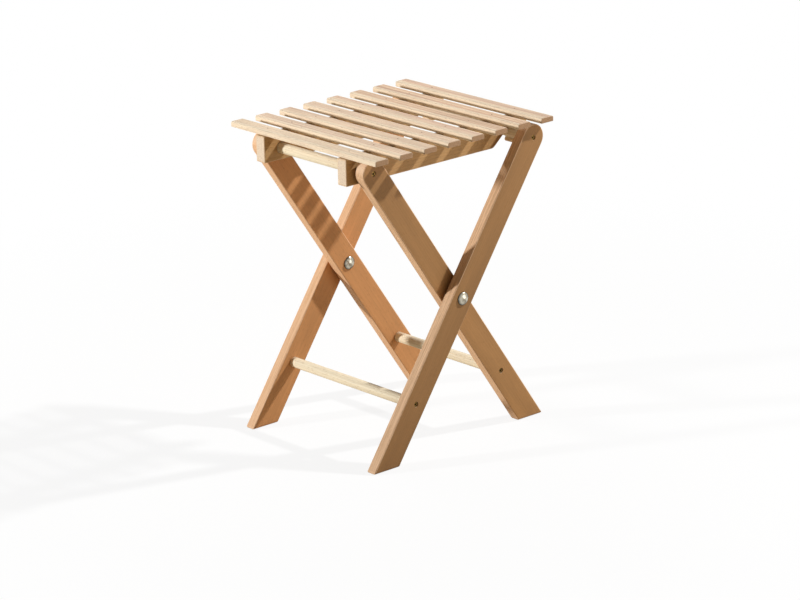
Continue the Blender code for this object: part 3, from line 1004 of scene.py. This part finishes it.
@dataclass
class LegFrame:
    """One of the two frames that cross: a pair of legs, the two dowels between them and their screws."""

    label: str
    top_dowel: str
    low_dowel: str
    leg_boards: tuple[Board, Board]
    leg_width: float = 38.0 * MM
    leg_edge: float = 1.2 * MM
    # Painted sheen: how pale a leg's narrow faces are painted between their rims
    leg_side_wear: float = 0.90
    foot_radius: float = 2.0 * MM
    sole_round: float = 4.5 * MM
    dowel_edge: float = 0.6 * MM
    dowel_sides: int = 72
    pivot_bore: float = 10.6 * MM
    bore_sides: int = 48
    screw_head: float = 7.4 * MM
    screw_rim: float = 0.4 * MM
    # The bevel of the rim, as shares of the rim's height: across the top and down the side
    screw_bevel: Pair = (0.2, 0.3)
    screw_depth: float = 2.4 * MM
    screw_shank: float = 4.0 * MM
    screw_tip: float = 6.0 * MM
    # How far the screw's hole is cut past its head, well clear of the leg
    screw_clear: float = 3.6 * MM
    screw_sides: int = 32
    recess_reach: float = 4.6 * MM
    recess_width: float = 1.4 * MM
    recess_depth: float = 1.6 * MM
    recess_taper: float = 0.45

    def build(self) -> None:
        """Build the legs, and the dowels with their screws."""
        for side, board in zip(Side, self.leg_boards):
            node = f"leg_{self.label}_{side.word}"
            set_piece(node, self.leg(node, side), self.leg_place(node), board)
        for node in (self.top_dowel, self.low_dowel):
            set_piece(node, self.dowel(node), Matrix.Translation(middle(node)), Board(Sawn.RIFT))
            for side in Side:
                screw = f"{node}_screw_{side.word}"
                set_piece(screw, self.screw(screw, 0.0), head_place(screw, side.value))

    def leg_place(self, node: str) -> Matrix:
        """Find a leg's place.

        Args:
            node: The leg's solid.

        Returns:
            A place on the pivot axis, with the leg's own +X, its fibre, turned to its round top.
        """
        pivot = middle("pivot_bolt_right")
        pivot.x = middle(node).x
        up = middle(self.top_dowel) - pivot
        up.x = 0
        up.normalize()
        across = Vector((1, 0, 0))
        turn = Matrix((up, across, up.cross(across))).transposed()
        return Matrix.Translation(pivot) @ turn.to_4x4()

    def leg(self, node: str, side: Side) -> Mesh:
        """Draw a leg with a round top and a foot cut to the floor, and bore it.

        Args:
            node: The leg's solid.
            side: Which side of the stool.

        Returns:
            The leg's mesh.
        """
        place = self.leg_place(node)
        up, face = place.to_3x3().col[0], place.to_3x3().col[2]
        half = self.leg_width / 2
        arm = (middle(self.top_dowel) - place.translation).yz.length
        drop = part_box(node)[0].z - place.translation.z
        soles = [(drop - v * face.z) / up.z for v in (-half, half)]
        outline = Outline([
            Corner(soles[0], -half, self.foot_radius),
            Corner(soles[1], half, self.foot_radius),
            Corner(arm + half, half, half),
            Corner(arm + half, -half, half),
        ])
        depth = extent(node).x
        mesh = board_mesh(node, outline, depth, self.leg_edge, FLATWAYS, side_wear=self.leg_side_wear)
        bar = turned_mesh("pivot_bore", bar_profile(self.pivot_bore / 2, depth), self.bore_sides)
        screws = [f"{dowel}_screw_{side.word}" for dowel in (self.top_dowel, self.low_dowel)]
        away = place.inverted()
        holes = [(self.screw(screw, FIT_GAP), away @ head_place(screw, side.value)) for screw in screws]
        return bored(mesh, gathered("leg_bores", [(bar, ACROSS), (self.sole_easing(node), away), *holes]))

    def sole_easing(self, node: str) -> Mesh:
        """Shape what is sanded off the two long edges of a sole.

        Args:
            node: The leg's solid.

        Returns:
            Both shavings, in the stool's frame.
        """
        low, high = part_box(node)
        radius = self.sole_round
        steps = math.ceil(math.pi / 2 / ARC_STEP)
        angles = [math.pi / 2 * step / steps for step in range(steps + 1)]
        bm = bmesh.new()
        for face, out in ((low.x, -1), (high.x, 1)):
            # The round ends just outside both faces, so that it cuts them cleanly
            x, z = face - out * (radius - SNUG), low.z + radius - SNUG
            arc = [(x + out * radius * math.sin(a), z - radius * math.cos(a)) for a in angles]
            corner = [(x + 2 * out * radius, z), (x + 2 * out * radius, z - 2 * radius), (x, z - 2 * radius)]
            ends = (low.y - radius, high.y + radius)
            skin(bm, [[bm.verts.new((u, y, w)) for u, w in arc + corner] for y in ends])
        return new_mesh("sole_easing", bm)

    def dowel(self, node: str) -> Mesh:
        """Turn a dowel that fits between the legs and bore its ends for the screws.

        Args:
            node: The dowel's solid.

        Returns:
            The dowel's mesh.
        """
        size = extent(node)
        profile = bar_profile(size.z / 2, size.x / 2, self.dowel_edge)
        mesh = turned_mesh(node, profile, self.dowel_sides)
        away = Matrix.Translation(-middle(node))
        screws = {f"{node}_screw_{side.word}": side.value for side in Side}
        holes = [(self.screw(screw, FIT_GAP), away @ head_place(screw, out)) for screw, out in screws.items()]
        return bored(mesh, gathered("dowel_bores", holes))

    def screw(self, node: str, gap: float) -> Mesh:
        """Turn a countersunk screw, its head's top at the origin and facing +X.

        Args:
            node: The screw's solid.
            gap: How much wider than the screw, for its hole.

        Returns:
            The screw's mesh, with the cross recess of its head, or that of its hole.
        """
        head, shank = self.screw_head / 2 + gap, self.screw_shank / 2 + gap
        length, tip = extent(node).x + gap, self.screw_tip
        across, down = (share * self.screw_rim for share in self.screw_bevel)
        top = [(0.0, 0.0), (head - across, 0.0), (head, -down)]
        if gap:
            top, tip = [(0.0, self.screw_clear), (head, self.screw_clear)], 0.0
        body = [(head, -self.screw_rim), (shank, -self.screw_depth), (shank, tip - length), (0.0, -length)]
        mesh = turned_mesh(node, top + body, self.screw_sides)
        if gap:
            return mesh
        reach, width = self.recess_reach / 2, self.recess_width / 2
        arms = [Vector(spot) for spot in ((reach, width), (width, width), (width, reach))]
        cross = [Matrix.Rotation(turn * math.pi / 2, 2) @ arm for turn in range(4) for arm in arms]
        levels = ((self.recess_depth, 1.0), (-self.recess_depth, self.recess_taper))
        bm = bmesh.new()
        skin(bm, [[bm.verts.new((level, *(p * share))) for p in cross] for level, share in levels])
        return bored(mesh, new_mesh("cross_recess", bm))


@dataclass
class PivotHardware:
    """Where the legs cross: a domed bolt, a sleeve nut with the same dome, and a spacer washer."""

    head_rim: float = 0.8 * MM
    rim_round: float = 0.25 * MM
    # How the dome turns over into its rim, in shares of the rounding: in from the rim and down from the dome
    rim_steps: tuple[Pair, Pair] = ((0.3, 0.7), (0.0, 1.6))
    head_height: float = 4.6 * MM
    head_diameter: float = 19.0 * MM
    bolt_shank: float = 6.0 * MM
    sleeve: float = 10.0 * MM
    sleeve_floor: float = 7.5 * MM
    spacer_edge: float = 0.5 * MM
    dome_steps: int = 16
    sides: int = 64

    def build(self) -> None:
        """Build the pieces of both crossings."""
        for side in Side:
            bolt, nut, spacer = (f"{kind}_{side.word}" for kind in ("pivot_bolt", "sleeve_nut", "leg_spacer"))
            set_piece(bolt, self.bolt(bolt), head_place(bolt, side.value))
            set_piece(nut, self.nut(nut), head_place(nut, -side.value))
            set_piece(spacer, self.spacer(spacer), Matrix.Translation(middle(spacer)))

    def dome(self) -> Profile:
        """Draw a domed head.

        Returns:
            The head's outline, from its peak at the origin to the inside of its flat back.
        """
        radius = self.head_diameter / 2
        rise = self.head_height - self.head_rim
        sphere = (radius * radius + rise * rise) / (2 * rise)
        span = math.asin((radius - self.rim_round) / sphere)
        angles = [span * step / self.dome_steps for step in range(self.dome_steps + 1)]
        arch = [(sphere * math.sin(angle), sphere * (math.cos(angle) - 1)) for angle in angles]
        foot, base = arch[-1][1], -self.head_height
        return [
            *arch,
            *((radius - i * self.rim_round, foot - down * self.rim_round) for i, down in self.rim_steps),
            (radius, base + self.rim_round),
            (radius - self.rim_round, base),
        ]

    def bolt(self, node: str) -> Mesh:
        """Turn a pivot bolt.

        Args:
            node: The bolt's solid.

        Returns:
            The bolt's mesh, facing +X.
        """
        shank, length = self.bolt_shank / 2, extent(node).x
        profile = [*self.dome(), (shank, -self.head_height), (shank, -length), (0.0, -length)]
        return turned_mesh(node, profile, self.sides)

    def nut(self, node: str) -> Mesh:
        """Turn a sleeve nut, its barrel open for the bolt's shank.

        Args:
            node: The nut's solid.

        Returns:
            The nut's mesh, facing +X.
        """
        barrel, hole, length = self.sleeve / 2, self.bolt_shank / 2 + FIT_GAP, extent(node).x
        profile = [
            *self.dome(),
            (barrel, -self.head_height),
            (barrel, -length),
            (hole, -length),
            (hole, -self.head_height - self.sleeve_floor),
            (0.0, -self.head_height - self.sleeve_floor),
        ]
        return turned_mesh(node, profile, self.sides)

    def spacer(self, node: str) -> Mesh:
        """Turn the washer between two crossing legs.

        Args:
            node: The washer's solid.

        Returns:
            The washer's mesh.
        """
        size = extent(node)
        hole = self.sleeve / 2 + FIT_GAP
        profile = bar_profile(size.z / 2, size.x / 2, self.spacer_edge, hole)
        return turned_mesh(node, profile, self.sides, ring=True)


@dataclass(frozen=True)
class Lamp:
    """A round studio lamp: where it stands, as seen from the stool, and how bright it makes it.

    A white surface that faces a lamp of level 1 looks white.
    """

    name: str
    towards: Triple
    level: float
    spread: float
    distance: float
    target: Triple = (0.0, 0.0, 0.25)

    def hang(self) -> None:
        """Put the lamp in the scene, aimed at its target."""
        light = bpy.data.lights.new(self.name, "AREA")
        light.shape = "DISK"
        light.size = self.spread
        light.energy = self.level * (math.pi * self.distance) ** 2
        lamp = put(self.name, light)
        way = Vector(self.towards).normalized()
        lamp.location = Vector(self.target) + way * self.distance
        lamp.rotation_euler = way.to_track_quat("Z", "Y").to_euler()
        lamp.visible_camera = False


@dataclass
class Studio:
    """A pale floor that runs out to white, two lamps, two softboxes, an even sky and the camera."""

    floor_reach: float = 14.0
    floor_gap: float = 0.2 * MM
    floor_bounce: str = "#BAAA8E"
    floor_pale: str = "#F9F9F9"
    floor_glow: float = 0.86
    floor_fade: Pair = (0.5, 1.3)
    sky: str = "#4C463D"
    sky_seen: str = "#FFFFFF"
    azimuth: float = 48.538
    elevation: float = 17.772
    roll: float = -1.335
    distance: float = 5.1081
    focal_pixels: float = 3613.1
    sensor: float = 36.0
    target: Triple = (0.01217, -0.00428, 0.18734)
    lamps: tuple[Lamp, ...] = (
        Lamp("rear_right_lamp", (0.362, 0.672, 0.646), 0.86, 0.42, 10.0),
        Lamp("front_left_lamp", (-0.465, -0.857, 0.221), 0.85, 0.32, 4.0),
        Lamp("overhead_softbox", (-0.62, 0.22, 0.75), 0.18, 0.9, 1.1),
        Lamp("right_softbox", (0.86, 0.50, 0.06), 0.21, 0.8, 1.2),
    )

    def build(self) -> None:
        """Build the floor, the light and the camera."""
        self.lay_floor()
        self.light_sky()
        for lamp in self.lamps:
            lamp.hang()
        self.set_camera()
        bpy.context.scene.view_settings.view_transform = "Standard"

    def seen_rays(self, add: Adder) -> NodeSocket:
        """Tell the rays that show the background from those that light the stool.

        Args:
            add: The adder of the node tree that asks.

        Returns:
            A socket that is 1 for camera, glossy and transmission rays.
        """
        seen = add("LightPath", {}, "Is Camera Ray")
        path = seen.node.outputs
        for kind in ("Is Glossy Ray", "Is Transmission Ray"):
            seen = add("Math", {0: seen, 1: path[kind]}, operation="MAXIMUM")
        return seen

    def lay_floor(self) -> None:
        """Lay the floor, which looks white, keeps the stool's shadow and throws little light back."""
        bm = bmesh.new()
        bmesh.ops.create_grid(bm, x_segments=1, y_segments=1, size=self.floor_reach)
        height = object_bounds()[0].z - self.floor_gap
        floor = put("studio_floor", new_mesh("studio_floor", bm))
        floor.location.z = height
        material = bpy.data.materials.new("matt_white_paper")
        add = adder(material)
        seen = self.seen_rays(add)
        papers = linear(self.floor_bounce), linear(self.floor_pale)
        tone = add("Mix", {0: seen, COLOURS: papers}, MIXED, data_type="RGBA")
        place = add("TexCoord", {}, "Object")
        reach = add("VectorMath", {0: place}, "Value", operation="LENGTH")
        glow = add(
            "MapRange", {0: reach, READ: self.floor_fade, GIVE: (self.floor_glow, 1.0)},
            interpolation_type="SMOOTHSTEP",
        )
        glow = add("Math", {0: seen, 1: glow}, operation="MULTIPLY")
        paper = add("BsdfDiffuse", {"Color": tone})
        white = add("Emission", {"Strength": 1.0})
        mixed = add("MixShader", {0: glow, 1: paper, 2: white})
        add("OutputMaterial", {0: mixed})
        floor.data.materials.append(material)
        floor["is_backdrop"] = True

    def light_sky(self) -> None:
        """Surround the stool with an even light that shows as white."""
        world = bpy.data.worlds.new("white_studio")
        bpy.context.scene.world = world
        add = adder(world)
        skies = linear(self.sky), linear(self.sky_seen)
        colour = add("Mix", {0: self.seen_rays(add), COLOURS: skies}, MIXED, data_type="RGBA")
        add("OutputWorld", {0: add("Background", {"Color": colour})})

    def set_camera(self) -> None:
        """Set the camera at the photograph's angle, with its slight roll."""
        lens = bpy.data.cameras.new("photo_camera")
        lens.sensor_width = self.sensor
        lens.lens = self.focal_pixels * self.sensor / IMAGE_WIDTH
        camera = put("photo_camera", lens)
        place = Matrix.Translation(self.target)
        for angle, axis in ((self.azimuth, "Z"), (90 - self.elevation, "X"), (self.roll, "Z")):
            place = place @ Matrix.Rotation(math.radians(angle), 4, axis)
        camera.matrix_world = place @ Matrix.Translation((0, 0, self.distance))
        bpy.context.scene.camera = camera


# The finish of each of the record's material slots
FINISHES: dict[str, BeechFinish | SteelFinish | NylonFinish] = {
    # Planed slats: pale and matt, with plain rings and streaks
    "slat_beech": BeechFinish(
        "slat_beech_planed", "#E9D1B3", "#C69A87", "#9A6E52", "#B08A68", "#F4E4CA",
        ring_share=0.85, fibre_share=0.20, drift_share=0.15,
    ),
    # Planed rails: tan on their faces, much paler where their ends were sawn
    "rail_beech": BeechFinish(
        "rail_beech_planed", "#C29B6A", "#AE824E", "#8A5C32", "#F0DFCA", "#E2C29C", ring_share=0.35
    ),
    # Steamed legs: the steam turns beech an even reddish tan, in which rings and flecks nearly vanish. Their
    # worn colour, and partly their end grain colour, are painted pale as painted sheen
    "leg_beech": BeechFinish(
        "leg_beech_steamed", "#CF9A64", "#BC8450", "#8A5A2E", "#F5DFC4", "#F1CBA6",
        ring_share=0.20, fleck_share=0.3, fibre_share=0.06,
    ),
    # Turned dowels: the palest wood, creamy and smooth
    "dowel_beech": BeechFinish(
        "dowel_beech_turned", "#F2E6CB", "#E4D2B0", "#B2946A", "#DCC8A0", "#F4EACF"
    ),
    # Yellow zinc plate: dull gold on the screw's face, nearly black in its recess with grime and painted
    # shade
    "screw_steel": SteelFinish(
        "screw_steel_yellow_zinc", "#7E6133", "#443419", 0.42, (0.1 * MM, 0.5 * MM), 0.04
    ),
    # Rusted steel: brown pin heads with hardly a shine
    "pin_steel": SteelFinish(
        "pin_steel_rusted", "#8A6E50", "#5C452F", 0.5, (0.1 * MM, 0.8 * MM), 0.3, axis=(0.0, 0.0, 1.0)
    ),
    # Nickel plate: a warm grey mirror, clouded by handling and by painted dark reflections, with painted
    # shade towards its rim
    "pivot_nickel": SteelFinish(
        "bolt_nickel_plated", "#C9C2B0", "#8C8474", 0.24, (1.5 * MM, 3.8 * MM), 0.22, cloud_width=7 * MM
    ),
    # Moulded nylon: milky and softly glossy, in a thin line between the crossing legs
    "spacer_nylon": NylonFinish("spacer_nylon_moulded", "#E6E2D8", "#D6D1C4"),
}

# Each slat is from a board of its own, sawn and toned a little differently
SLAT_BOARDS = (
    Board(Sawn.FLAT),
    Board(Sawn.RIFT),
    Board(Sawn.FLAT, Tone.ROSY),
    Board(Sawn.QUARTER),
    Board(Sawn.FLAT),
    Board(Sawn.RIFT, Tone.AMBER),
    Board(Sawn.RIFT, Tone.AMBER),
    Board(Sawn.FLAT),
)

# The left legs, named first, are painted redder and lighter than the right ones, as painted warm bounce
# light, and the right legs darker, as painted shade. Painted light makes the right inner leg lighter at its
# foot, and painted shade makes both outer legs darker there.
INNER_BOARDS = (Board(Sawn.RIFT, Tone.RUDDY), Board(Sawn.FLAT, Tone.DEEP, root=1.14))
OUTER_BOARDS = (Board(Sawn.RIFT, Tone.RUDDY, root=0.90), Board(Sawn.FLAT, Tone.DEEP, root=0.78))


def main() -> None:
    """Build the seat, both leg frames, the pivots and the studio."""
    logging.basicConfig(level=logging.INFO, format="%(name)s: %(message)s")
    SeatDeck(SLAT_BOARDS).build()
    LegFrame("inner", "hinge_dowel", "rear_stretcher", INNER_BOARDS).build()
    LegFrame("outer", "catch_dowel", "front_stretcher", OUTER_BOARDS).build()
    PivotHardware().build()
    Studio().build()


if __name__ == "__main__":
    main()
